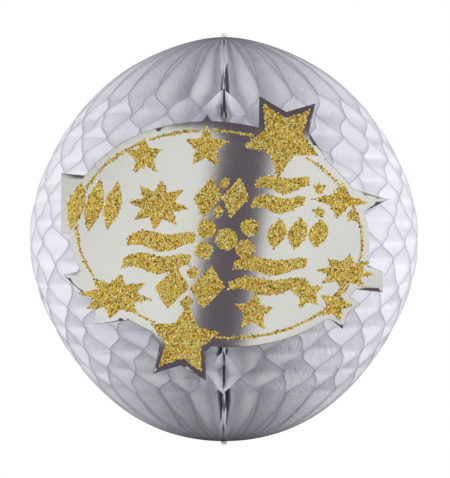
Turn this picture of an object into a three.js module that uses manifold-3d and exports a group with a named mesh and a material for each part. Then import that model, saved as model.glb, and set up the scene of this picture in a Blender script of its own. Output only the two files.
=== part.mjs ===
// Paper honeycomb ball: fifty tissue leaves fanned round a bound spine between two card
// covers, with a bowed foil card standing in front of the seam.
// Millimetres, +Z up, front facing -Y. The origin is the hang point, on top of the top knot.
// The spine runs down the Z axis. A fan angle is measured round the spine from the seam at
// the front (-Y) towards -X, the back (+Y) and +X, and comes back to the seam at 360 degrees.
import * as THREE from 'three';
import { mergeVertices } from 'three/addons/utils/BufferGeometryUtils.js';
import Module from 'manifold-3d';

const wasm = await Module();
wasm.setup();

// ---- driving dimensions ----
const ballHeight = 300;          // pole to pole
const ballWidth = 288;           // across the equator, a little less than the height
const knotHeight = 3;            // each knot stands this far beyond its pole
const topDraw = 0.25;            // how much the tissue is drawn in at the tied top pole
const topDrawSpread = 25;        // degrees from the pole over which that fades
const shoulderDraw = 0.045;      // slight flattening half-way between pole and equator
const profileSteps = 22;         // straight steps along a leaf's rim

const leafCount = 50;
const leafWedge = 0.06;          // degrees of fan angle that a folded-flat leaf fills
const spineRadius = 5;           // where the leaves start, clear of the binding thread
const seamHalfGap = 0.35;        // degrees from the seam plane to each cover
const coverWedge = 0.24;         // degrees a cover fills: about 0.6 mm of card at the rim
const coverShare = 0.975;        // a cover's size beside a leaf's, so that tissue hides its rim

const threadRadius = 0.7;
const threadGap = 0.3;           // between each end of the thread and its knot
const threadSides = 12;
const knotRadius = 2.6;
const knotSteps = 8;             // straight steps along a knot's half-round section
const knotSides = 16;

const cardThickness = 0.4;
const cardBow = 240;             // bend radius of the foil card
const cardLean = 8.7;            // degrees that the bend axis leans clockwise, from the front
const cardApexX = 6;             // where the bow stands furthest forward
const cardBackY = -147;          // back of the card at that place
const cardCentre = [-3.6, 3.4];  // X, and Z above the equator, of the card's oval
const ovalAxes = [105, 77];      // half-axes of the card's oval
const ovalLean = 7;              // degrees that the oval leans clockwise
const curveSteps = 36;           // straight steps round the card's oval
const bendReach = 38;            // degrees of bend on each side, more than the card needs
const bendSteps = 30;
const sheetLength = 260;         // length of bent card that the outline is cut from
const punchDepth = 80;           // length of the cutter that the outline is punched with
const punchLead = 10;            // how much of it stands in front of the card

const tabThickness = 0.3;
const tabHeight = 30;
const tabLegDepth = 20;          // how far the tab reaches into the seam
const tabWing = 14;              // how far its other leg reaches behind the card
const touchGap = 0.3;            // between the tab and the card's back
const padSize = 18;
const padThickness = 0.4;
const padRise = 80;              // height of each closure pad above or below the equator
const padInset = 7;              // from the ball's rim to the pad
const padCorner = 3;             // corner radius

// ---- derived places ----
const poleHalf = ballHeight / 2;
const equatorHalf = ballWidth / 2;
const equatorZ = -knotHeight - poleHalf;
const topPoleZ = -knotHeight;
const bottomPoleZ = -knotHeight - ballHeight;
const fanStart = seamHalfGap + coverWedge;
const leafPitch = (360 - 2 * fanStart) / leafCount;

const radians = THREE.MathUtils.degToRad;

// Radius of the ball at an angle from the top pole, in degrees: an ellipse with slightly
// flattened shoulders, drawn in towards the tied top.
function ballRadius(polar) {
  const shoulder = shoulderDraw * Math.sin(2 * radians(polar)) ** 2;
  const top = topDraw * Math.exp(-((polar / topDrawSpread) ** 2));
  return equatorHalf * Math.sin(radians(polar)) * (1 - shoulder - top);
}

function ballPoint(polar) {
  return [ballRadius(polar), equatorZ + poleHalf * Math.cos(radians(polar))];
}

// ---- materials ----
function finish(color, roughness, metalness = 0) {
  return new THREE.MeshStandardMaterial({ color, roughness, metalness });
}

const tissue = finish(0xebebf5, 0.9);
const coverCard = finish(0xbcbab8, 0.8);
const foil = finish(0xd5d7cf, 0.12, 0.9);
const tabPaper = finish(0xdedede, 0.85);
const adhesive = finish(0xe9e6d8, 0.7);
const thread = finish(0xf2f0ec, 0.85);

const ball = new THREE.Group();

function addPiece(name, geometry, material) {
  const piece = new THREE.Mesh(geometry, material);
  piece.name = name;
  ball.add(piece);
  return piece;
}

// ---- half-discs: leaves and covers ----
// A half-disc stands in the plane of the spine and one radius. Its two faces are turned
// apart by the wedge angle, so that the fan closes on itself like the pages of a book.
function halfDisc(wedge, share) {
  const points = [];
  for (let step = 0; step <= profileSteps; step += 1) {
    const [radius, z] = ballPoint((180 * step) / profileSteps);
    const place = new THREE.Vector2(share * radius, equatorZ + share * (z - equatorZ));
    if (place.x > spineRadius) points.push(place);
  }
  const top = points[0].y;
  const bottom = points[points.length - 1].y;
  const outline = new THREE.Shape([
    new THREE.Vector2(spineRadius, bottom),
    ...points.reverse(),
    new THREE.Vector2(spineRadius, top),
  ]);
  const geometry = new THREE.ExtrudeGeometry(outline, { depth: 1, bevelEnabled: false });
  const places = geometry.attributes.position;
  for (let i = 0; i < places.count; i += 1) {
    const radius = places.getX(i);
    const turn = radians(wedge) * (0.5 - places.getZ(i));
    places.setXYZ(i, radius * Math.cos(turn), radius * Math.sin(turn), places.getY(i));
  }
  return geometry;
}

// Turns a half-disc from +X to its fan angle.
function placeInFan(piece, fanAngle) {
  piece.rotation.z = radians(270 - fanAngle);
}

const leafShape = halfDisc(leafWedge, 1);
for (let leaf = 0; leaf < leafCount; leaf += 1) {
  const name = `tissue_leaf_${String(leaf + 1).padStart(2, '0')}`;
  placeInFan(addPiece(name, leafShape, tissue), fanStart + (leaf + 0.5) * leafPitch);
}

const coverShape = halfDisc(coverWedge, coverShare);
placeInFan(addPiece('cover_left', coverShape, coverCard), seamHalfGap + coverWedge / 2);
placeInFan(addPiece('cover_right', coverShape, coverCard), 360 - seamHalfGap - coverWedge / 2);

// ---- binding thread and its knots ----
const spine = new THREE.CylinderGeometry(
  threadRadius, threadRadius, ballHeight - 2 * threadGap, threadSides,
);
spine.rotateX(Math.PI / 2);
addPiece('spine_thread', spine, thread).position.z = equatorZ;

function knot() {
  const profile = [];
  for (let step = 0; step <= knotSteps; step += 1) {
    const turn = (Math.PI * step) / knotSteps;
    profile.push(new THREE.Vector2(knotRadius * Math.sin(turn), -knotHeight * Math.cos(turn) / 2));
  }
  profile[0].x = 0;
  profile[knotSteps].x = 0;
  const body = new THREE.LatheGeometry(profile, knotSides);
  body.rotateX(Math.PI / 2);
  return body;
}

addPiece('top_knot', knot(), thread).position.z = -knotHeight / 2;
addPiece('bottom_knot', knot(), thread).position.z = bottomPoleZ - knotHeight / 2;

// ---- foil card ----
function solidOf(geometry) {
  const bare = geometry.index ? geometry.toNonIndexed() : geometry.clone();
  bare.deleteAttribute('normal');
  bare.deleteAttribute('uv');
  const merged = mergeVertices(bare, 1e-4);
  return new wasm.Manifold(new wasm.Mesh({
    numProp: 3,
    vertProperties: merged.attributes.position.array,
    triVerts: Uint32Array.from(merged.index.array),
  }));
}

function geometryOf(solid) {
  const mesh = solid.getMesh();
  const geometry = new THREE.BufferGeometry();
  geometry.setAttribute('position', new THREE.BufferAttribute(mesh.vertProperties, 3));
  geometry.setIndex(new THREE.BufferAttribute(mesh.triVerts, 1));
  return geometry;
}

// Shapes on the card are drawn in X and in Z above the equator.
function star(x, z, radius, turn, inner = 0.5) {
  const tips = 5;
  const points = [];
  for (let corner = 0; corner < 2 * tips; corner += 1) {
    const reach = corner % 2 === 0 ? radius : radius * inner;
    const angle = radians(90 - turn) + (Math.PI * corner) / tips;
    points.push(new THREE.Vector2(x + reach * Math.cos(angle), z + reach * Math.sin(angle)));
  }
  return new THREE.Shape(points);
}

function corners(...places) {
  return new THREE.Shape(places.map(([x, z]) => new THREE.Vector2(x, z)));
}

function oval() {
  const shape = new THREE.Shape();
  shape.absellipse(
    cardCentre[0], cardCentre[1], ovalAxes[0], ovalAxes[1], 0, 2 * Math.PI, false, radians(-ovalLean),
  );
  return shape;
}

// Everything that makes up the die-cut outline: the oval, the stars that break its edge,
// and the pointed and square tabs at its ends.
const cardShapes = [
  oval(),
  star(40.5, 69, 33.5, -29, 0.55),
  star(-12.3, 63.5, 22, 2, 0.6),
  star(-27.5, -69.5, 31, 7, 0.55),
  star(76.7, -45.2, 18, 18, 0.6),
  corners([-114, 46], [-95, 44], [-85, 2], [-104, 2.5], [-114, 5]),
  corners([83.6, 36.3], [114, 27.4], [96, 18.2], [80, 20]),
  corners([-112, -25], [-88.5, -46], [-89.5, -59], [-67, -56], [-60, -40], [-98, -22]),
  corners([97, -17], [110.5, -23], [110.5, -37], [92, -35], [85, -25]),
];

// A shape pushed straight through the card from the front, along Y.
function punch(shape) {
  const prism = new THREE.ExtrudeGeometry(shape, {
    depth: punchDepth, bevelEnabled: false, curveSegments: curveSteps,
  });
  prism.rotateX(Math.PI / 2);
  prism.translate(0, cardBackY + punchDepth - punchLead, equatorZ);
  return solidOf(prism);
}

// A length of bent card, whose bend axis leans in the X-Z plane.
function bentSheet() {
  const reach = radians(bendReach);
  const outer = cardBow + cardThickness;
  const section = new THREE.Shape();
  section.absarc(0, 0, outer, -Math.PI / 2 - reach, -Math.PI / 2 + reach, false);
  section.absarc(0, 0, cardBow, -Math.PI / 2 + reach, -Math.PI / 2 - reach, true);
  const sheet = new THREE.ExtrudeGeometry(section, {
    depth: sheetLength, bevelEnabled: false, curveSegments: bendSteps,
  });
  sheet.translate(0, cardBow, -sheetLength / 2);
  sheet.rotateY(radians(cardLean));
  sheet.translate(cardApexX, cardBackY, equatorZ);
  return solidOf(sheet);
}

const outline = cardShapes.map(punch).reduce((whole, piece) => whole.add(piece));
addPiece('foil_card', geometryOf(bentSheet().intersect(outline)), foil);

// ---- tab that holds the card to the left cover's edge ----
const cardSag = tabWing ** 2 / (2 * cardBow);
const tabFrontY = cardBackY + touchGap + cardSag;
const half = tabThickness / 2;
const tabSection = corners(
  [-half, tabFrontY],
  [tabWing, tabFrontY],
  [tabWing, tabFrontY + tabThickness],
  [half, tabFrontY + tabThickness],
  [half, tabFrontY + tabLegDepth],
  [-half, tabFrontY + tabLegDepth],
);
const tab = new THREE.ExtrudeGeometry(tabSection, { depth: tabHeight, bevelEnabled: false });
addPiece('card_tab', tab, tabPaper).position.z = equatorZ - tabHeight / 2;

// ---- adhesive pads that hold the two covers together ----
function closurePad() {
  const side = padSize / 2;
  const corner = side - padCorner;
  const shape = new THREE.Shape();
  shape.moveTo(side, -corner);
  shape.absarc(corner, corner, padCorner, 0, Math.PI / 2, false);
  shape.absarc(-corner, corner, padCorner, Math.PI / 2, Math.PI, false);
  shape.absarc(-corner, -corner, padCorner, Math.PI, 1.5 * Math.PI, false);
  shape.absarc(corner, -corner, padCorner, 1.5 * Math.PI, 2 * Math.PI, false);
  const pad = new THREE.ExtrudeGeometry(shape, {
    depth: padThickness, bevelEnabled: false, curveSegments: 4,
  });
  pad.translate(0, 0, -padThickness / 2);
  pad.rotateY(Math.PI / 2);
  return pad;
}

const padPolar = THREE.MathUtils.radToDeg(Math.acos(padRise / poleHalf));
const padY = -ballRadius(padPolar) + padSize / 2 + padInset;
addPiece('closure_pad_upper', closurePad(), adhesive).position.set(0, padY, equatorZ + padRise);
addPiece('closure_pad_lower', closurePad(), adhesive).position.set(0, padY, equatorZ - padRise);

export default ball;
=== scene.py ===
"""Looks of the paper honeycomb ball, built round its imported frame: tissue honeycomb, card covers,
knots, and the bowed foil card with its raised gold glitter. Metres, +Z up, front facing -Y."""

import math

import bpy
import numpy as np
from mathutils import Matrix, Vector, geometry


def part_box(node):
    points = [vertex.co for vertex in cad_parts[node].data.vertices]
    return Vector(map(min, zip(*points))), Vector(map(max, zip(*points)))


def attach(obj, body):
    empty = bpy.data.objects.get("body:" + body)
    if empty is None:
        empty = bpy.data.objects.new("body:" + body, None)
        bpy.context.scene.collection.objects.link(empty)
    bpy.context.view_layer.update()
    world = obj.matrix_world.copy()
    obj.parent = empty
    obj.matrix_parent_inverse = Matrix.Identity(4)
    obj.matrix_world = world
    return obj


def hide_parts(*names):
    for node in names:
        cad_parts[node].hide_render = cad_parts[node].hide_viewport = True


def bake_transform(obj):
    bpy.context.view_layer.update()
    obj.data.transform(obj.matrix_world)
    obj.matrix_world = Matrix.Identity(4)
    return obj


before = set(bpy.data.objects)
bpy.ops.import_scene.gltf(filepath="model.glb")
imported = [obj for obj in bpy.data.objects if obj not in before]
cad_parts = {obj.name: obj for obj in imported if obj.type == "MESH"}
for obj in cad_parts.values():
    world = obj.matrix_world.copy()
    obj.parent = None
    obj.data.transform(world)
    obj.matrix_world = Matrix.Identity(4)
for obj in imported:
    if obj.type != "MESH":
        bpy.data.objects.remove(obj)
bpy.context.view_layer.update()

# ---- places read from the frame ----
LEAVES = sorted(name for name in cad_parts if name.startswith("tissue_leaf_"))
TOP_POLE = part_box("top_knot")[0].z
BOTTOM_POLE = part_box("bottom_knot")[1].z
POLE_HALF = (TOP_POLE - BOTTOM_POLE) / 2
EQUATOR_Z = (TOP_POLE + BOTTOM_POLE) / 2
EQUATOR_HALF = 0.144

# ---- the ball, as in the design ----
TOP_DRAW = 0.25             # how much the tied top is drawn in
TOP_DRAW_SPREAD = 25        # degrees
SHOULDER_DRAW = 0.045
FAN_START = 0.59            # degrees from the seam plane to the first tissue
LEAF_PITCH = (360 - 2 * FAN_START) / len(LEAVES)

# ---- honeycomb ----
FIRST_GLUE_LINE = 0.046     # below the top pole
LAST_GLUE_LINE = 0.040      # above the bottom pole
GLUE_PITCH = (TOP_POLE - BOTTOM_POLE - FIRST_GLUE_LINE - LAST_GLUE_LINE) / 14
LEAF_ROWS = 230             # rows of points, pole to pole
LEAF_COLUMNS = 14           # columns of points, spine to the outer band
OUTER_BAND = 0.95           # where the outer band starts, as a share of the radius
BAND_COLUMNS = (0.965, 0.978, 0.989, 1.0)
CELL_POINTING = 0.93        # 0 for round waves between the glue lines, 1 for straight ones
RIM_LEAN = 1.4              # how far the soft rims lie over away from the seam, in leaf pitches
RIM_LEAN_DEPTH = 0.13       # how deep the lean reaches from the rim, as a share of the radius
SEAM_CROWD = 20.0           # how strongly the leaves beside the seam are pressed towards the covers
RIM_SHADE_WIDTH = 0.0006           # width of the band along each leaf's rim that is painted darker, painted shade
RIM_SHADE_FACTORS = (0.25, 1.0)     # how strongly that painted shade is laid on where the band starts and at the rim itself
CREASES = 10                # random folds in each leaf
CREASE_RATE = 130           # how close together they lie, radians per metre
CREASE_HEIGHT = 0.028       # of one fold, in leaf pitches
NOTHING = 1e-9              # keeps a radius of 0 from being divided by
COVER_SHARE = 0.975         # size of a cover beside the tissue
SEAM_LEAF_SHADE = 0.6          # how strongly the whole of the two leaves beside the seam is painted darker, painted shade

# ---- the foil card, as in the design ----
CARD_BOW = 0.240            # bend radius
CARD_LEAN = math.radians(8.7)
CARD_APEX = Vector((0.006, -0.147, EQUATOR_Z))
CARD_THICKNESS = 0.0004
CARD_NET = 0.0025           # spacing of the points inside its face
CARD_ROLL = 0.00025         # width of its rolled edge
CARD_ROLL_DROP = 0.00015
TIP_BEND_START = 0.066      # from the card's middle, where its upper and lower points start to bend
TIP_BEND = 5.0              # how fast they bend, 1/m


def ball_radius(z):
    """Radius of the ball at a height."""
    polar = np.arccos(np.clip((z - EQUATOR_Z) / POLE_HALF, -1, 1))
    shoulder = SHOULDER_DRAW * np.sin(2 * polar) ** 2
    top = TOP_DRAW * np.exp(-((np.degrees(polar) / TOP_DRAW_SPREAD) ** 2))
    return EQUATOR_HALF * np.sin(polar) * (1 - shoulder - top)


def fan_point(fan_angle, radius, z):
    """A fan angle is measured in degrees round the spine, from the seam at -Y towards -X."""
    turn = np.radians(fan_angle)
    return np.stack([-radius * np.sin(turn), -radius * np.cos(turn), z], axis=-1)


# ---- small helpers ----
def make_piece(name, points, faces, material, smooth=True):
    """A mesh object in the frame's metres."""
    mesh = bpy.data.meshes.new(name)
    mesh.from_pydata([tuple(p) for p in points], [], [tuple(f) for f in faces])
    mesh.materials.append(material)
    mesh.validate()
    if smooth:
        mesh.shade_smooth()
    piece = bpy.data.objects.new(name, mesh)
    bpy.context.scene.collection.objects.link(piece)
    return piece


def grid_faces(rows, columns):
    """Quads of a grid of points stored row by row."""
    faces = []
    for row in range(rows - 1):
        for column in range(columns - 1):
            a = row * columns + column
            faces.append((a, a + 1, a + columns + 1, a + columns))
    return faces


def store(piece, name, values):
    """Stores one number for each point, which a material reads by its name."""
    attribute = piece.data.attributes.new(name, "FLOAT", "POINT")
    attribute.data.foreach_set("value", values.astype(np.float32).ravel())


class Nodes:
    """Short calls for building a material's node tree."""

    def __init__(self, name):
        self.material = bpy.data.materials.new(name)
        self.start(self.material, "ShaderNodeOutputMaterial")

    def start(self, owner, output):
        owner.use_nodes = True
        self.tree = owner.node_tree
        self.tree.nodes.clear()
        self.output = self.tree.nodes.new(output)

    @classmethod
    def for_world(cls, name):
        nodes = cls.__new__(cls)
        bpy.context.scene.world = bpy.data.worlds.new(name)
        nodes.start(bpy.context.scene.world, "ShaderNodeOutputWorld")
        return nodes

    def add(self, kind, **values):
        node = self.tree.nodes.new(kind)
        for key, value in values.items():
            socket = node.inputs.get(key.replace("_", " "))
            if socket is None:
                setattr(node, key, value)
            else:
                socket.default_value = value
        return node

    def link(self, source, target):
        self.tree.links.new(source, target)

    def noise(self, scale, detail=3.0, vector=None):
        node = self.add("ShaderNodeTexNoise", Scale=scale, Detail=detail)
        if vector is not None:
            self.link(vector, node.inputs["Vector"])
        return node.outputs["Fac"]

    def place(self, stretch=(1, 1, 1)):
        """The object's own coordinates, stretched."""
        coordinates = self.add("ShaderNodeTexCoord")
        mapping = self.add("ShaderNodeMapping")
        mapping.inputs["Scale"].default_value = stretch
        self.link(coordinates.outputs["Object"], mapping.inputs["Vector"])
        return mapping.outputs["Vector"]

    def ramp(self, source, *stops):
        node = self.add("ShaderNodeValToRGB")
        elements = node.color_ramp.elements
        while len(elements) < len(stops):
            elements.new(0.5)
        for element, (position, colour) in zip(elements, stops):
            element.position = position
            element.color = (*colour, 1)
        self.link(source, node.inputs["Fac"])
        return node.outputs["Color"]

    def spread(self, source, low, high):
        """0 at low and 1 at high, with a smooth change between."""
        node = self.add("ShaderNodeMapRange", interpolation_type="SMOOTHSTEP")
        node.inputs["From Min"].default_value = low
        node.inputs["From Max"].default_value = high
        self.link(source, node.inputs["Value"])
        return node.outputs["Result"]

    def bump(self, height, strength, distance, before=None):
        node = self.add("ShaderNodeBump", Strength=strength, Distance=distance)
        self.link(height, node.inputs["Height"])
        if before is not None:
            self.link(before, node.inputs["Normal"])
        return node.outputs["Normal"]


# ---- materials ----
def tissue_material():
    """Thin crinkled tissue: a matte face, with part of the light coming through it. Its colour is
    darkened by painted shade along each leaf's rim and over the two leaves beside the seam.
    """
    n = Nodes("tissue_paper")
    fibres = n.noise(900, 4, n.place((1, 1, 0.25)))
    cloudy = n.noise(45, 3, n.place())
    creases = n.noise(160, 2, n.place((1, 1, 0.35)))
    paper = n.ramp(cloudy, (0.3, (0.925, 0.925, 0.957)), (0.7, (0.96, 0.96, 0.98)))
    # painted shade: the stored share darkens the paper towards grey-lavender along each rim and over the
    # two leaves beside the seam
    edge = n.add("ShaderNodeAttribute", attribute_name="painted_shade_share")
    painted_shade_mix = n.add("ShaderNodeMix", data_type="RGBA", blend_type="MULTIPLY")
    painted_shade_mix.inputs["B"].default_value = (0.55, 0.55, 0.62, 1)
    n.link(edge.outputs["Fac"], painted_shade_mix.inputs["Factor"])
    n.link(paper, painted_shade_mix.inputs["A"])
    colour = painted_shade_mix.outputs["Result"]
    folds = n.add("ShaderNodeTexVoronoi", feature="DISTANCE_TO_EDGE", Scale=48.0)
    bent = n.add("ShaderNodeVectorMath", operation="MULTIPLY_ADD")
    bent.inputs[1].default_value = (0.03, 0.03, 0.03)
    wander = n.add("ShaderNodeTexNoise", Scale=30.0, Detail=3.0)
    n.link(wander.outputs["Color"], bent.inputs[0])
    n.link(n.place((1, 1, 0.55)), bent.inputs[2])
    n.link(bent.outputs[0], folds.inputs["Vector"])
    normal = n.bump(n.spread(folds.outputs["Distance"], 0.0, 0.16), 0.30, 0.0007)
    normal = n.bump(creases, 0.35, 0.0012, normal)
    normal = n.bump(fibres, 0.25, 0.0003, normal)
    face = n.add("ShaderNodeBsdfPrincipled", Roughness=0.8)
    face.inputs["Specular IOR Level"].default_value = 0.25
    behind = n.add("ShaderNodeBsdfTranslucent")
    mix = n.add("ShaderNodeMixShader", Fac=0.55)
    n.link(colour, face.inputs["Base Color"])
    n.link(colour, behind.inputs["Color"])
    n.link(normal, face.inputs["Normal"])
    n.link(normal, behind.inputs["Normal"])
    n.link(face.outputs[0], mix.inputs[1])
    n.link(behind.outputs[0], mix.inputs[2])
    n.link(mix.outputs[0], n.output.inputs["Surface"])
    return n.material


def paper_material(name, colour, roughness, grain, strength):
    """Matte card, paper or thread, with a fine grain."""
    n = Nodes(name)
    grit = n.noise(grain, 4, n.place())
    dark = tuple(0.9 * channel for channel in colour)
    face = n.add("ShaderNodeBsdfPrincipled", Roughness=roughness)
    n.link(n.ramp(grit, (0.3, dark), (0.7, colour)), face.inputs["Base Color"])
    n.link(n.bump(grit, strength, 0.0003), face.inputs["Normal"])
    n.link(face.outputs[0], n.output.inputs["Surface"])
    return n.material


def foil_material():
    """Mirror foil laminated on card: bright, faintly green-grey, with the card's grain showing."""
    n = Nodes("mirror_foil")
    grain = n.noise(1100, 4, n.place())
    ripple = n.noise(70, 3, n.place())
    face = n.add("ShaderNodeBsdfPrincipled", Metallic=1.0)
    wear = n.add("ShaderNodeMapRange")
    wear.inputs["To Min"].default_value = 0.10
    wear.inputs["To Max"].default_value = 0.22
    n.link(grain, wear.inputs["Value"])
    n.link(wear.outputs["Result"], face.inputs["Roughness"])
    tint = n.ramp(ripple, (0.35, (0.88, 0.885, 0.855)), (0.65, (0.90, 0.905, 0.875)))
    n.link(tint, face.inputs["Base Color"])
    streaks = n.noise(90, 5, n.place((1, 1, 0.2)))
    normal = n.bump(streaks, 0.06, 0.0005, n.bump(ripple, 0.035, 0.0006))
    n.link(n.bump(grain, 0.22, 0.00008, normal), face.inputs["Normal"])
    n.link(face.outputs[0], n.output.inputs["Surface"])
    return n.material


def glitter_material():
    """Gold flakes: each has its own tone, stored on its corners. The darkest brown tones are painted
    shadow and the palest yellow ones painted glints, beside the real glints of the tilted flakes.
    """
    n = Nodes("gold_glitter")
    tone = n.add("ShaderNodeAttribute", attribute_name="flake_tone_and_painted_light")
    colour = n.ramp(
        tone.outputs["Fac"],
        (0.0, (0.14, 0.065, 0.008)),
        (0.3, (0.74, 0.46, 0.05)),
        (0.65, (1.0, 0.81, 0.17)),
        (1.0, (1.0, 0.98, 0.46)),
    )
    face = n.add("ShaderNodeBsdfPrincipled", Metallic=0.45, Roughness=0.3)
    n.link(colour, face.inputs["Base Color"])
    grit = n.noise(2500, 2, n.place())
    n.link(n.bump(grit, 0.2, 0.00005), face.inputs["Normal"])
    n.link(face.outputs[0], n.output.inputs["Surface"])
    return n.material


TISSUE = tissue_material()
COVER_CARD = paper_material("cover_card", (0.50, 0.49, 0.48), 0.8, 500, 0.3)
CARD_PAPER = paper_material("card_paper", (0.86, 0.86, 0.86), 0.8, 700, 0.3)
TAB_PAPER = paper_material("tab_paper", (0.80, 0.80, 0.80), 0.85, 700, 0.4)
PAD_FOAM = paper_material("pad_foam", (0.82, 0.80, 0.72), 0.7, 1200, 0.6)
THREAD = paper_material("cotton_thread", (0.88, 0.86, 0.83), 0.85, 1800, 0.8)
FLOOR = paper_material("pale_floor", (0.85, 0.85, 0.86), 0.9, 40, 0.05)
FOIL = foil_material()
GLITTER = glitter_material()


# ---- tissue leaves ----
def glue_wave(z):
    """+1 and -1 on alternate glue lines, smooth between them, fading out towards both poles."""
    first, last = TOP_POLE - FIRST_GLUE_LINE, BOTTOM_POLE + LAST_GLUE_LINE
    phase = (first - np.clip(z, last, first)) / GLUE_PITCH
    wave = np.arcsin(CELL_POINTING * np.cos(np.pi * phase)) / math.asin(CELL_POINTING)
    near_pole = np.minimum((TOP_POLE - z) / FIRST_GLUE_LINE, (z - BOTTOM_POLE) / LAST_GLUE_LINE)
    share = np.clip(near_pole, 0, 1)
    return wave * share * share * (3 - 2 * share)


def crinkle(index, reach, z):
    """Small random folds of one leaf, as a share of the leaf pitch."""
    random = np.random.default_rng(1000 + index)
    total = np.zeros_like(reach)
    for _ in range(CREASES):
        across, along = random.normal(0, CREASE_RATE, 2)
        total += np.sin(across * reach + along * z + random.uniform(0, 2 * math.pi))
    return CREASE_HEIGHT * total


def rim_lean(place, reach, rim):
    """The soft rims lie over away from the seam, so behind them each leaf sits nearer to the seam,
    by this many leaf pitches. Beside the seam the leaves are pressed against the covers."""
    shallower = 0.45        # how much less deep the lean is at the seam
    deep_from = 2           # leaves from the seam
    back_leaves = 8         # the lean fades out over these, opposite the seam
    curl = 1.5              # above 1, the rim curls over
    half = len(LEAVES) / 2
    from_seam = np.minimum(place, 2 * half - place)
    depth = RIM_LEAN_DEPTH * (1 - shallower * np.exp(-from_seam / deep_from))
    inwards = np.clip((rim - reach) / (depth * rim + NOTHING), 0, 1)
    side = np.where(place < half, -1, 1) * np.minimum(1, (half - from_seam) / back_leaves)
    crowded = SEAM_CROWD * from_seam / (from_seam**2 + SEAM_CROWD)
    shift = np.maximum(crowded, RIM_LEAN * (1 - np.exp(-from_seam)))
    return side * shift * (1 - (1 - inwards) ** curl)


def swell(place, z, waves_in_it):
    """Slow waves over the ball: height, radians per leaf, radians per metre, and start of each."""
    parts = [size * np.sin(round_rate * place + up_rate * z + start)
             for size, round_rate, up_rate, start in waves_in_it]
    return parts[0] + parts[1]


def unevenness(place, z):
    """Hand-opened tissue is never regular: how far the pattern strays there, up in metres and
    round in leaf pitches. Leaves that are glued together stray together."""
    held = np.minimum(1, np.minimum(place, len(LEAVES) - place))
    rise = swell(place, z, [(0.0016, 1.9, 38, 0), (0.0012, 4.3, -71, 1)])
    turn = swell(place, z, [(0.10, 2.3, 47, 2), (0.07, 3.9, -93, 0)])
    return rise, held * turn


def seam_hem(index, wave, reach, rim):
    """The tissue that sticks out past the covers closes over their edges, unevenly."""
    if 0 < index < len(LEAVES) - 1:
        return 0.0
    hem_start, hem_width = COVER_SHARE - 0.015, 0.03
    most = 0.97             # of the way to the seam plane
    side = -1 if index == 0 else 1
    glued = 0.5 + 0.5 * side * wave
    height = np.arange(len(rim))[:, None] / len(rim)
    uneven = 0.8 + 0.25 * np.sin(31 * height + index) + 0.2 * np.sin(67 * height + 2 + index)
    past_cover = np.clip((reach / (rim + NOTHING) - hem_start) / hem_width, 0, 1)
    return side * FAN_START / LEAF_PITCH * glued * past_cover * np.clip(uneven, 0, most)


def tissue_leaf(index):
    """One leaf between its two neighbours. It touches them along alternate glue lines."""
    polar = np.linspace(0, math.pi, LEAF_ROWS)
    z = EQUATOR_Z + POLE_HALF * np.cos(polar)
    rim = ball_radius(z)[:, None]
    inner = OUTER_BAND * np.linspace(0, 1, LEAF_COLUMNS) ** 0.6
    share = np.append(inner, BAND_COLUMNS)[None, :]
    reach = np.hstack([np.maximum(rim - RIM_SHADE_WIDTH, 0) * share, rim])
    columns = reach.shape[1]
    height = np.repeat(z[:, None], columns, axis=1)
    side = -1 if index % 2 == 0 else 1
    rough_place = index + 0.5 + 0.5 * side * glue_wave(height)
    rise, turn = unevenness(rough_place, height)
    wave = side * glue_wave(height + rise)
    place = index + 0.5 + 0.5 * wave
    free = 1 - wave**4
    turns = np.clip(0.5 * wave + crinkle(index, reach, height) * free, -0.5, 0.5)
    turns += turn + rim_lean(place, reach, rim) + seam_hem(index, wave, reach, rim)
    fan = FAN_START + (index + 0.5 + turns) * LEAF_PITCH
    points = fan_point(fan, reach, height).reshape(-1, 3)
    name = f"honeycomb_leaf_{index + 1:02d}"
    piece = make_piece(name, points, grid_faces(LEAF_ROWS, columns), TISSUE)
    # painted shade along each leaf's rim, standing in for the shade where the cell behind it goes deep
    edge = np.zeros((LEAF_ROWS, columns), np.float32)
    edge[:, -2:] = RIM_SHADE_FACTORS
    # painted shade over the whole of the two leaves beside the seam
    if index in (0, len(LEAVES) - 1):
        edge = np.maximum(edge, SEAM_LEAF_SHADE)
    store(piece, "painted_shade_share", edge)
    return piece, turns.ravel()


def bend_with_neighbours(piece):
    """Bakes the leaf's transform into its points. Each point's turn round the spine, between two leaf
    planes, is already given by tissue_leaf."""
    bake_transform(piece)


def make_leaves():
    """Every leaf of tissue, each in the place of its CAD solid."""
    for index, node in enumerate(LEAVES):
        piece, turns = tissue_leaf(index)
        bend_with_neighbours(piece)
        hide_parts(node)


# ---- covers ----
def cover(name, node, body, side):
    """A thin card half-disc with a softly rounded rim. side is -1 left of the seam and +1 right."""
    rows, gap, thickness = 140, 0.0008, 0.0003
    full_gap_from = 0.125       # the two covers draw together inside this radius, towards the spine
    round_from = 0.97
    polar = np.linspace(0, math.pi, rows)
    z = EQUATOR_Z + POLE_HALF * np.cos(polar)
    rim = COVER_SHARE * ball_radius(z)
    z = EQUATOR_Z + COVER_SHARE * (z - EQUATOR_Z)
    inner_side = [(0.0, 0.0), (0.5, 0.0), (round_from, 0.0), (1.0, 0.25)]
    section = inner_side + [(share, 1 - depth) for share, depth in reversed(inner_side)]
    points = []
    for height, radius in zip(z, rim):
        for share, depth in section:
            away = min(1.0, radius * share / full_gap_from)
            x = side * away * (gap + thickness * depth)
            points.append((x, -radius * share, height))
    count = len(section)
    faces = grid_faces(rows, count)
    for row in range(rows - 1):
        here, above = row * count, (row + 1) * count
        faces.append((here + count - 1, here, above, above + count - 1))
    piece = make_piece(name, points, faces, COVER_CARD)
    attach(piece, body)
    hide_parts(node)


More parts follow.
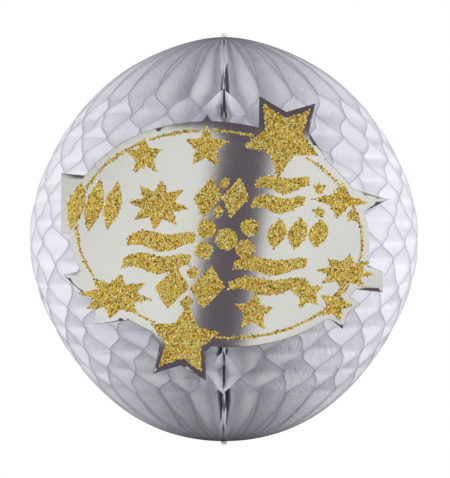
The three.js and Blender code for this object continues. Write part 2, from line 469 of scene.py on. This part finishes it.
# ---- thread knots ----
def thread_knot(name, node):
    """A trefoil knot of thread, pulled tight, in the space of the CAD knot."""
    low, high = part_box(node)
    middle, half = (low + high) / 2, (high - low) / 2
    steps, sides, thread = 96, 8, 0.00055
    round_loop = np.linspace(0, 2 * math.pi, steps, endpoint=False)
    knot_x = np.sin(round_loop) + 2 * np.sin(2 * round_loop)
    knot_y = np.cos(round_loop) - 2 * np.cos(2 * round_loop)
    trefoil = np.stack([knot_x / 3, knot_y / 3, -np.sin(3 * round_loop)], axis=1)
    path = trefoil * (np.array(half) - thread) + np.array(middle)
    along = np.roll(path, -1, axis=0) - np.roll(path, 1, axis=0)
    along /= np.linalg.norm(along, axis=1)[:, None]
    across = np.cross(along, (0, 0, 1.0))
    across /= np.linalg.norm(across, axis=1)[:, None]
    upwards = np.cross(across, along)
    points = []
    for place, right, up in zip(path, across, upwards):
        for side in range(sides):
            turn = 2 * math.pi * side / sides
            points.append(place + thread * (math.cos(turn) * right + math.sin(turn) * up))
    faces = []
    for step in range(steps):
        for side in range(sides):
            here, there = step * sides, (step + 1) % steps * sides
            beside = (side + 1) % sides
            faces.append((here + side, here + beside, there + beside, there + side))
    piece = make_piece(name, points, faces, THREAD)
    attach(piece, "spine")
    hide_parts(node)


# ---- foil card ----
def card_front(x, z, lift=0.0):
    """The point on the card's bowed front at X and Z, lifted off it by a small distance, with the
    surface's direction there. The points above the oval bend back and those below bend forward."""
    right, up = x - CARD_APEX.x, z - CARD_APEX.z
    across = right * math.cos(CARD_LEAN) - up * math.sin(CARD_LEAN)
    along = right * math.sin(CARD_LEAN) + up * math.cos(CARD_LEAN)
    outer = CARD_BOW + CARD_THICKNESS
    angle = math.asin(across / outer)
    beyond = max(0.0, abs(along) - TIP_BEND_START)
    y = CARD_APEX.y + CARD_BOW - outer * math.cos(angle) + math.copysign(TIP_BEND * beyond**2, along)
    ruling = Vector((math.sin(CARD_LEAN), 2 * TIP_BEND * beyond, math.cos(CARD_LEAN)))
    level = math.cos(angle)
    round_bow = Vector((math.cos(CARD_LEAN) * level, math.sin(angle), -math.sin(CARD_LEAN) * level))
    normal = round_bow.cross(ruling).normalized()
    return Vector((x, y, z)) + normal * lift, normal


def neighbours(outline):
    """Each point of a closed outline, with the one before and the one after."""
    return list(zip(outline[-1:] + outline[:-1], outline, outline[1:] + outline[:1]))


def turning(before, here, after):
    """The size of the turn at a point, in radians."""
    arriving, leaving = Vector(here) - Vector(before), Vector(after) - Vector(here)
    return arriving.angle(leaving, 0.0)


def rim_edges(faces):
    """Edges that only one face uses, in that face's direction."""
    rim = {}
    for face in faces:
        for a, b in zip(face, face[1:] + face[:1]):
            if (b, a) in rim:
                del rim[(b, a)]
            else:
                rim[(a, b)] = True
    return list(rim)


def outline_of(node):
    """The outline of the CAD card's front, as X, Z places in order."""
    facing, bend = 0.7, 0.01        # of a face on the front, and of a corner that is kept
    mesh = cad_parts[node].data
    welded = {}
    index = [welded.setdefault(tuple(round(c, 6) for c in v.co), len(welded)) for v in mesh.vertices]
    places = list(welded)
    front = []
    for polygon in mesh.polygons:
        corners = [index[i] for i in polygon.vertices]
        middle = sum((Vector(places[i]) for i in corners), Vector()) / len(corners)
        if polygon.normal.dot(card_front(middle.x, middle.z)[1]) < facing:
            continue
        front.append(corners)
    following = dict(rim_edges(front))
    start = next(iter(following))
    loop = [start]
    while following[loop[-1]] != start:
        loop.append(following[loop[-1]])
    outline = [(places[i][0], places[i][2]) for i in loop]
    return [here for before, here, after in neighbours(outline) if turning(before, here, after) > bend]


def fill(outline, spacing):
    """Triangles that fill an outline of X, Z places, with a regular net of points inside. Also
    gives the outline's point that each place on the rim came from."""
    points = [Vector(p) for p in outline]
    count = len(points)
    edges = [(i, (i + 1) % count) for i in range(count)]
    low_x, low_z = (min(p[axis] for p in outline) for axis in (0, 1))
    high_x, high_z = (max(p[axis] for p in outline) for axis in (0, 1))
    for i in range(int((high_x - low_x) / spacing) + 2):
        for j in range(int((high_z - low_z) / spacing) + 2):
            points.append(Vector((low_x + (i + 0.5 * (j % 2)) * spacing, low_z + j * spacing)))
    result = geometry.delaunay_2d_cdt(points, edges, [list(range(count))], 1, 1e-7)
    places, triangles = result[0], result[2]
    sources = {i: came[0] for i, came in enumerate(result[3]) if came and came[0] < count}
    faces = []
    for a, b, c in triangles:
        turn = (places[b] - places[a]).cross(places[c] - places[a])
        faces.append((a, b, c) if turn > 0 else (a, c, b))
    return [tuple(p) for p in places], faces, sources


def inset(outline, margin):
    """The outline moved inwards, corner by corner."""
    sharpest = 0.35         # keeps the sharpest points from moving too far
    area = sum(a[0] * b[1] - b[0] * a[1] for a, b in zip(outline, outline[1:] + outline[:1]))
    sign = 1 if area > 0 else -1
    moved = []
    for before, here, after in neighbours(outline):
        arriving = (Vector(here) - Vector(before)).normalized()
        leaving = (Vector(after) - Vector(here)).normalized()
        inwards = Vector((-arriving.y - leaving.y, arriving.x + leaving.x)) * sign
        share = max(sharpest, inwards.length / 2)
        moved.append(tuple(Vector(here) + inwards.normalized() * margin / share))
    return moved


class Shell:
    """Closed plates on the card's bow, one for each outline, gathered into one piece."""

    def __init__(self):
        self.points = []
        self.faces = []
        self.rolled_faces = []
        self.edge_faces = []

    def add(self, outline, low, high, spacing, bevel, drop):
        """A plate with an outline's shape, from one lift to another, whose top edge is rolled down."""
        places, faces, sources = fill(inset(outline, bevel), spacing)
        rim = rim_edges(faces)
        first = len(self.points)
        self.points += [card_front(x, z, high)[0] for x, z in places]
        self.faces += [tuple(first + i for i in face) for face in faces]
        loops = {}
        for level in (high - drop, low):
            for i in {i for edge in rim for i in edge}:
                x, z = outline[sources[i]] if i in sources else places[i]
                loops[(level, i)] = len(self.points)
                self.points.append(card_front(x, z, level)[0])
        for a, b in rim:
            top_a, top_b = loops[(high - drop, a)], loops[(high - drop, b)]
            self.rolled_faces.append((first + b, first + a, top_a, top_b))
            self.edge_faces.append((top_b, top_a, loops[(low, a)], loops[(low, b)]))
        back = len(self.points)
        self.points += [card_front(x, z, low)[0] for x, z in places]
        for face in faces:
            self.edge_faces.append(tuple(loops.get((low, i), back + i) for i in reversed(face)))

    def build(self, name, face_material, edge_material):
        """The fronts are smooth up to their rolled edges, and the rest is flat."""
        faces = self.faces + self.rolled_faces + self.edge_faces
        piece = make_piece(name, self.points, faces, face_material)
        piece.data.materials.append(edge_material)
        corner_edges = {frozenset(edge) for edge in rim_edges(self.faces)}
        for edge in piece.data.edges:
            edge.use_edge_sharp = frozenset(edge.vertices) in corner_edges
        smooth, faced = len(self.faces), len(self.faces) + len(self.rolled_faces)
        for polygon in piece.data.polygons:
            polygon.use_smooth = polygon.index < smooth
            polygon.material_index = 0 if polygon.index < faced else 1
        return piece


def foil_card():
    """The thin foil card with its rolled edge."""
    shell = Shell()
    shell.add(outline_of("foil_card"), -CARD_THICKNESS, 0.0, CARD_NET, CARD_ROLL, CARD_ROLL_DROP)
    piece = shell.build("die_cut_foil_card", FOIL, CARD_PAPER)
    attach(piece, "spine")
    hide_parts("foil_card")


# ---- glitter print: outlines in millimetres, X to the right and Z up from the equator ----
def star(x, z, radius, turn=0.0, inner=0.5, tips=5, flatten=1.0):
    """A star that leans to the right by a turn in degrees. inner is its inner radius, as a share."""
    points = []
    for corner in range(2 * tips):
        reach = radius if corner % 2 == 0 else radius * inner
        angle = math.radians(90 - turn) + math.pi * corner / tips
        points.append((x + reach * math.cos(angle), z + flatten * reach * math.sin(angle)))
    return [points]


def slanted(x, z, width, height, places):
    """Places of a unit box, stretched to size and slanted like the rest of the print."""
    return [(x + width * u + PRINT_SLANT * height * v, z + height * v) for u, v in places]


def petals(x, z, width, height):
    """Three slanted pointed petals, side by side."""
    shapes = []
    steps, half_width = 12, 0.155
    for middle, reach in ((-0.34, 0.46), (0.0, 0.5), (0.34, 0.46)):
        rises = [reach * (2 * i / steps - 1) for i in range(steps + 1)]
        bulge = [half_width * math.cos(0.5 * math.pi * v / reach) for v in rises]
        left = [(middle - b, v) for b, v in zip(bulge, rises)]
        right = [(middle + b, v) for b, v in zip(bulge, rises)]
        shapes.append(slanted(x, z, width, height, left + right[-2:0:-1]))
    return shapes


def waves(x, z, width, height):
    """Two wavy streamers, one above the other."""
    shapes = []
    steps, thick, swing = 18, 0.21, 0.07
    for middle in (0.27, -0.27):
        upper, lower = [], []
        for along in [i / steps for i in range(steps + 1)]:
            level = middle + swing * math.sin(2.6 * math.pi * along)
            half = thick * (0.55 + 0.45 * math.sin(math.pi * along))
            upper.append((along - 0.5, level + half))
            lower.append((along - 0.5, level - half))
        shapes.append(slanted(x, z, width, height, lower + upper[::-1]))
    return shapes


def diamonds(x, z, width, height):
    """Two large lozenges and two small ones in the notches between them."""
    shapes = []
    large, small = (0.25, 0.5), (0.1, 0.17)
    lozenges = ((-0.26, 0, large), (0.26, 0, large), (0, 0.35, small), (0, -0.35, small))
    for middle, level, (reach, rise) in lozenges:
        sides = [(-reach, 0), (0, -rise), (reach, 0), (0, rise)]
        corners = [(middle + u, level + v) for u, v in sides]
        shapes.append(slanted(x, z, width, height, corners))
    return shapes


def dots(x, z, width, height):
    """Five round confetti dots."""
    shapes = []
    steps = 18
    turns = [2 * math.pi * i / steps for i in range(steps)]
    spots = ((-0.36, 0.24, 6.5), (0.34, 0.27, 6), (0, 0, 7.5), (-0.33, -0.27, 6), (0.34, -0.24, 6.5))
    for middle, level, size in spots:
        centre_x, centre_z = slanted(x, z, width, height, [(middle, level)])[0]
        shapes.append([(centre_x + size * math.cos(t), centre_z + size * math.sin(t)) for t in turns])
    return shapes


def burst(x, z, width, height):
    """A wide star of eight points."""
    return star(x, z, width / 2, 8, 0.56, 8, height / width)


def sparkle(x, z, width, height):
    """A four-pointed sparkle with three small stars beside it."""
    shapes = star(x, z, width / 2, 6, 0.42, 4, height / width)
    for u, v in ((-0.36, 0.33), (-0.36, -0.33), (0.22, -0.42)):
        shapes += star(x + u * width, z + v * height, 4.6, 0, 0.6, 5)
    return shapes


PRINT_SLANT = 0.22
OVAL_CENTRE = (-3.6, 3.4)
OVAL_AXES = (99.5, 70.5)
OVAL_LEAN = math.radians(7)
STARS = (
    star(40.5, 69, 27, -29) + star(-12.3, 63, 15, 2) + star(-54.8, 57, 13, -3)
    + star(-27.5, -69, 25, 7) + star(20.6, -50.3, 13.5, 5) + star(57.2, -37.5, 11.5, -8)
    + star(76.5, -45.4, 12, 18)
)
MOTIFS = (
    petals(-90, 23.3, 38, 36) + burst(-45.3, 23.3, 42, 34) + diamonds(-1.7, 28.4, 37, 28)
    + waves(38.7, 31, 36, 25) + sparkle(80, 26.4, 40, 25)
    + waves(-45, -8.6, 46, 28) + dots(1.7, 0, 42, 29) + petals(50.7, 3.8, 42, 22)
    + burst(-75, -39.5, 52, 31) + diamonds(-23.5, -33.2, 47, 29) + waves(30, -25, 50, 25)
    + burst(84, -23, 42, 25)
)


def inside(outline, x, z):
    """True for each place within an outline."""
    crossed = np.zeros(np.shape(x), bool)
    for (ax, az), (bx, bz) in zip(outline, outline[1:] + outline[:1]):
        if az != bz:
            crossed ^= ((az > z) != (bz > z)) & (x < (bx - ax) * (z - az) / (bz - az) + ax)
    return crossed


def oval_band(half_width):
    """The thin glitter line round the card, in short outlines, broken where other shapes lie on it."""
    steps, longest = 200, 12
    uneven, unevenness_waves = 0.25, 23

    def place(turn, axes):
        u, v = axes[0] * math.cos(turn), axes[1] * math.sin(turn)
        x = OVAL_CENTRE[0] + u * math.cos(OVAL_LEAN) + v * math.sin(OVAL_LEAN)
        return x, OVAL_CENTRE[1] - u * math.sin(OVAL_LEAN) + v * math.cos(OVAL_LEAN)

    shapes, run = [], []
    for step in range(steps + 1):
        turn = 2 * math.pi * step / steps
        middle = place(turn, OVAL_AXES)
        free = not any(inside(shape, *middle) for shape in STARS + MOTIFS)
        if free:
            wander = 1 + uneven * math.sin(unevenness_waves * turn)
            wide = [axis + half_width * wander for axis in OVAL_AXES]
            narrow = [axis - half_width * wander for axis in OVAL_AXES]
            run.append((place(turn, wide), place(turn, narrow)))
        if run and (not free or step == steps or len(run) > longest):
            if len(run) > 1:
                shapes.append([outer for outer, _ in run] + [inner for _, inner in reversed(run)])
            run = run[-1:] if free else []
    return shapes


def metres(outline):
    """An outline in millimetres from the equator, as metres in the frame."""
    return [(x / 1000, EQUATOR_Z + z / 1000) for x, z in outline]


def scatter_flakes(outlines, per_mm2, random):
    """Places within the outlines, in metres, with a fixed number of flakes for each square millimetre."""
    places = []
    for outline in outlines:
        low, high = np.min(outline, axis=0), np.max(outline, axis=0)
        count = int(np.prod(high - low) * per_mm2)
        x, z = random.uniform(low, high, (count, 2)).T
        kept = inside(outline, x, z)
        places += metres(zip(x[kept], z[kept]))
    return places


def glitter_piece(name, outlines, seed):
    """Raised glue plates with thousands of small tilted gold flakes on them."""
    glue_low, glue_high, net, roll, drop = 0.00003, 0.00030, 0.004, 0.00025, 0.00015
    flakes_per_mm2, stray, tilt = 1.7, 0.00045, 0.38
    sides, smallest, largest = 6, 0.00035, 0.0007
    glue_tone = 0.3
    shell = Shell()
    for outline in outlines:
        shell.add(metres(outline), glue_low, glue_high, net, roll, drop)
    random = np.random.default_rng(seed)
    places = scatter_flakes(outlines, flakes_per_mm2, random)
    strays = random.normal(0, stray, (len(places), 2))
    heights = glue_high + random.uniform(0.00005, 0.0004, len(places))
    fronts = [card_front(x + dx, z + dz, height)
              for (x, z), (dx, dz), height in zip(places, strays, heights)]
    centre = np.array([tuple(point) for point, _ in fronts])
    normal = np.array([tuple(n) for _, n in fronts])
    count = len(centre)
    normal += random.normal(0, tilt, (count, 3)) * (1, 0.3, 1)
    normal /= np.linalg.norm(normal, axis=1)[:, None]
    across = np.cross(normal, (0, 0, 1.0))
    across /= np.linalg.norm(across, axis=1)[:, None]
    upwards = np.cross(across, normal)
    size = random.uniform(smallest, largest, count)
    spin = random.uniform(0, math.pi / 3, count)
    corners = []
    for side in range(sides):
        turn = (spin + 2 * math.pi * side / sides)[:, None]
        corners.append(centre + size[:, None] * (np.cos(turn) * across - np.sin(turn) * upwards))
    flake_points = np.stack(corners, axis=1).reshape(-1, 3)
    first = len(shell.points)
    shell.points += [tuple(p) for p in flake_points]
    for start in range(first, len(shell.points), sides):
        shell.edge_faces.append(tuple(range(start, start + sides)))
    piece = shell.build(name, GLITTER, GLITTER)
    tone = np.full(len(shell.points), glue_tone)
    # a random tone for each flake, whose darkest values are painted shadow and palest values painted
    # glints
    tone[first:] = np.repeat(random.beta(0.6, 0.5, count), sides)
    store(piece, "flake_tone_and_painted_light", tone)
    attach(piece, "spine")


def glitter_print():
    """The three pieces of glitter on the card, each with its own seed."""
    glitter_piece("glitter_stars", STARS, 11)
    glitter_piece("glitter_motifs", MOTIFS, 12)
    glitter_piece("glitter_oval_line", oval_band(0.7), 13)


# ---- studio ----
def make_camera():
    """Straight in front of the ball. The picture's longer side takes in picture_height."""
    distance, picture_height, aside = 1.86, 0.3556, 0.0007
    camera = bpy.data.objects.new("camera", bpy.data.cameras.new("camera"))
    bpy.context.scene.collection.objects.link(camera)
    camera.data.sensor_width = 36
    camera.data.lens = camera.data.sensor_width * distance / picture_height
    camera.location = (aside, -distance, EQUATOR_Z)
    camera.rotation_euler = (math.radians(90), 0, 0)
    bpy.context.scene.camera = camera


def make_world():
    """A white studio. The foil mirrors its bright walls, a dark gap in front, and a dark ceiling
    and floor; the paper is lit by an even glow that is dimmer in front."""
    n = Nodes.for_world("studio")
    split = n.add("ShaderNodeSeparateXYZ")
    n.link(n.add("ShaderNodeTexCoord").outputs["Generated"], split.inputs["Vector"])
    height = n.spread(split.outputs["Z"], -1, 1)
    dark, wall = (0.10, 0.08, 0.10), (0.79, 0.785, 0.76)
    mirrored = n.ramp(height, (0.32, dark), (0.40, wall), (0.60, wall), (0.68, dark))
    aside = n.add("ShaderNodeMath", operation="ABSOLUTE")
    n.link(split.outputs["X"], aside.inputs[0])
    gap = n.spread(aside.outputs[0], 0.15, 0.19)
    behind = n.spread(split.outputs["Y"], -0.01, 0.01)
    bright = n.add("ShaderNodeMath", operation="MAXIMUM")
    n.link(gap, bright.inputs[0])
    n.link(behind, bright.inputs[1])
    mirror_view = n.add("ShaderNodeMix", data_type="RGBA")
    mirror_view.inputs["A"].default_value = (*dark, 1)
    n.link(bright.outputs[0], mirror_view.inputs["Factor"])
    n.link(mirrored, mirror_view.inputs["B"])
    level = n.ramp(height, (0.0, (0.0, 0.0, 0.0)), (0.34, (0.12, 0.12, 0.125)),
                   (0.5, (0.74, 0.74, 0.75)), (1.0, (0.02, 0.02, 0.03)))
    glow = n.add("ShaderNodeMix", data_type="RGBA", blend_type="MULTIPLY", Factor=1.0)
    n.link(level, glow.inputs["A"])
    sides = n.ramp(n.spread(aside.outputs[0], 0.0, 0.8), (0.0, (0.12, 0.12, 0.12)), (1.0, (1, 1, 1)))
    n.link(sides, glow.inputs["B"])
    path = n.add("ShaderNodeLightPath")
    lit = n.add("ShaderNodeMix", data_type="RGBA")
    n.link(path.outputs["Is Glossy Ray"], lit.inputs["Factor"])
    n.link(glow.outputs["Result"], lit.inputs["A"])
    n.link(mirror_view.outputs["Result"], lit.inputs["B"])
    seen = n.add("ShaderNodeMix", data_type="RGBA")
    seen.inputs["B"].default_value = (1, 1, 1, 1)
    n.link(path.outputs["Is Camera Ray"], seen.inputs["Factor"])
    n.link(lit.outputs["Result"], seen.inputs["A"])
    surround = n.add("ShaderNodeBackground")
    n.link(seen.outputs["Result"], surround.inputs["Color"])
    n.link(surround.outputs[0], n.output.inputs["Surface"])


def soft_light(name, place, size, power):
    """A large soft lamp that looks at the ball and isn't mirrored in the foil."""
    data = bpy.data.lights.new(name, "AREA")
    data.shape = "RECTANGLE"
    data.size, data.size_y = size
    data.energy = power
    lamp = bpy.data.objects.new(name, data)
    bpy.context.scene.collection.objects.link(lamp)
    lamp.location = place
    aim = Vector((0, 0, EQUATOR_Z)) - Vector(place)
    lamp.rotation_euler = aim.to_track_quat("-Z", "Y").to_euler()
    lamp.visible_glossy = False
    lamp.visible_camera = False


def make_floor():
    """A wide pale floor, well below the hanging ball. It glows a little, because the studio's
    light is kept for the ball, and it neither lights the ball nor shows in the foil."""
    half, z, glow = 2.6, -0.75, 0.6
    corners = [(-half, -half, z), (half, -half, z), (half, half, z), (-half, half, z)]
    floor = make_piece("floor", corners, [(0, 1, 2, 3)], FLOOR, smooth=False)
    floor.visible_diffuse = False
    floor.visible_glossy = False
    floor.visible_transmission = False
    FLOOR.cycles.emission_sampling = "NONE"
    face = next(node for node in FLOOR.node_tree.nodes if node.type == "BSDF_PRINCIPLED")
    face.inputs["Emission Color"].default_value = (0.9, 0.9, 0.91, 1)
    face.inputs["Emission Strength"].default_value = glow


# ---- the scene ----
make_camera()
make_world()
for name, place, size, power in [
    ("left_softbox", (-1.6, -0.8, EQUATOR_Z + 0.14), (0.8, 0.6), 32),
    ("right_softbox", (1.6, -0.8, EQUATOR_Z + 0.12), (0.8, 0.6), 34),
    ("front_softbox", (0, -1.9, EQUATOR_Z + 0.2), (0.8, 0.4), 4),
]:
    soft_light(name, place, size, power)
make_floor()
bpy.context.scene.view_settings.view_transform = "Standard"
bpy.context.scene.cycles.max_bounces = 18
bpy.context.scene.cycles.diffuse_bounces = 14

make_leaves()
cover("left_cover_card", "cover_left", "spine", -1)
cover("right_cover_card", "cover_right", "right_cover", 1)
thread_knot("top_thread_knot", "top_knot")
thread_knot("bottom_thread_knot", "bottom_knot")
foil_card()
glitter_print()

for node, material in [
    ("card_tab", TAB_PAPER),
    ("closure_pad_upper", PAD_FOAM),
    ("closure_pad_lower", PAD_FOAM),
    ("spine_thread", THREAD),
]:
    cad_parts[node].data.materials.clear()
    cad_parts[node].data.materials.append(material)
